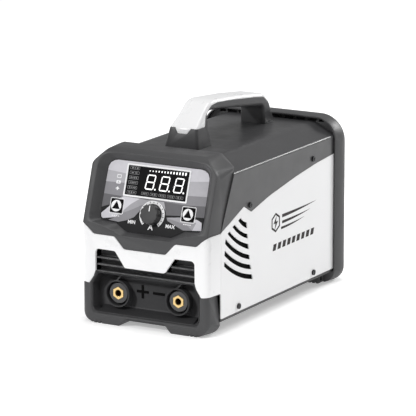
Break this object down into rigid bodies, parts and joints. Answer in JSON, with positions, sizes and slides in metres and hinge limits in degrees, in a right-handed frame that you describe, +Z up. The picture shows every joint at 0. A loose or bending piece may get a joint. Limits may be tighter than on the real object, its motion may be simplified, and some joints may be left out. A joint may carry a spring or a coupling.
{
  "type": "inverter welding power source",
  "caption": "Portable inverter welding power source: box case with leaning control panel, output sockets in a recessed bay, louvred sides, rear bumper frame and carrying handle.",
  "frame": {"origin": "on the floor, in the middle of the footprint", "axes": "+X to the right seen from the front, +Y from the front face to the rear, +Z up"},
  "size_m": [0.148, 0.264, 0.1983],
  "materials": {
    "dark_plastic": "satin dark grey moulding",
    "white_plastic": "satin white moulding",
    "white_sheet": "satin white coated sheet",
    "dark_sheet": "satin dark grey coated sheet",
    "black_sheet": "black coated sheet",
    "black_print": "black ink",
    "white_print": "white ink",
    "black_steel": "black oxide screw",
    "zinc_steel": "zinc plated steel",
    "printed_film": "printed control film in greys",
    "smoked_window": "smoked display window",
    "black_moulding": "black moulding",
    "button_plastic": "black button with white print",
    "knob_plastic": "black fluted knob",
    "circuit_board": "green circuit board",
    "aluminium": "extruded aluminium",
    "capacitor_sleeve": "blue black sleeve",
    "ferrite": "sintered ferrite",
    "copper": "copper",
    "red_plastic": "red rocker",
    "brass": "machined brass",
    "socket_plastic": "black socket moulding"
  },
  "bodies": {
    "root": {"base_pan": "black_sheet", "board_posts": "zinc_steel", "bus_capacitors": "capacitor_sleeve", "busbar_minus": "copper", "busbar_plus": "copper", "button_switches": "black_moulding", "cable_gland": "black_moulding", "control_board": "circuit_board", "control_film": "printed_film", "control_potentiometer": "zinc_steel", "display_module": "black_moulding", "display_window": "smoked_window", "earth_stud": "brass", "fan_frame": "black_moulding", "fan_guard": "black_sheet", "fan_screws": "zinc_steel", "front_bezel": "dark_plastic", "front_bumper": "dark_plastic", "front_fascia": "white_plastic", "front_grille": "dark_plastic", "gland_nut": "black_moulding", "handle_cap": "white_plastic", "handle_core": "dark_plastic", "handle_screws": "zinc_steel", "heatsink_left": "aluminium", "heatsink_right": "aluminium", "output_inductor": "ferrite", "polarity_marks": "black_print", "power_board": "circuit_board", "power_posts": "zinc_steel", "rear_frame": "dark_plastic", "rear_panel": "black_sheet", "rectifier": "black_moulding", "side_panel_left": "white_sheet", "side_panel_right": "white_sheet", "side_screws": "black_steel", "socket_bay": "dark_plastic", "socket_body_minus": "socket_plastic", "socket_body_plus": "socket_plastic", "socket_insert_minus": "brass", "socket_insert_plus": "brass", "socket_nut_minus": "brass", "socket_nut_plus": "brass", "switch_body": "black_moulding", "top_cover": "dark_sheet", "transformer_core": "ferrite", "transformer_winding": "copper"},
    "knob": {"current_knob": "knob_plastic", "knob_pointer": "white_print", "control_shaft": "zinc_steel"},
    "left_button": {"left_button": "button_plastic"},
    "right_button": {"right_button": "button_plastic"},
    "rocker": {"switch_rocker": "red_plastic"},
    "fan": {"fan_rotor": "black_moulding"}
  },
  "joints": [
    {"name": "knob_turn", "type": "hinge", "parent": "root", "child": "knob", "pos_m": [0.0003, -0.11785, 0.10547], "axis": [0, -0.9483, 0.3173], "range_deg": [-140, 140]},
    {"name": "left_button_press", "type": "slide", "parent": "root", "child": "left_button", "axis": [0, 0.9483, -0.3173], "range_m": [0, 0.0009], "stiffness_N_per_m": 600, "springref_m": -0.0006},
    {"name": "right_button_press", "type": "slide", "parent": "root", "child": "right_button", "axis": [0, 0.9483, -0.3173], "range_m": [0, 0.0009], "stiffness_N_per_m": 600, "springref_m": -0.0006},
    {"name": "power_rocker", "type": "hinge", "parent": "root", "child": "rocker", "pos_m": [-0.032, 0.1104, 0.034], "axis": [-1, 0, 0], "range_deg": [0, 14]},
    {"name": "fan_spin", "type": "hinge", "parent": "root", "child": "fan", "pos_m": [0, 0.096, 0.092], "axis": [0, 1, 0], "continuous": true}
  ]
}
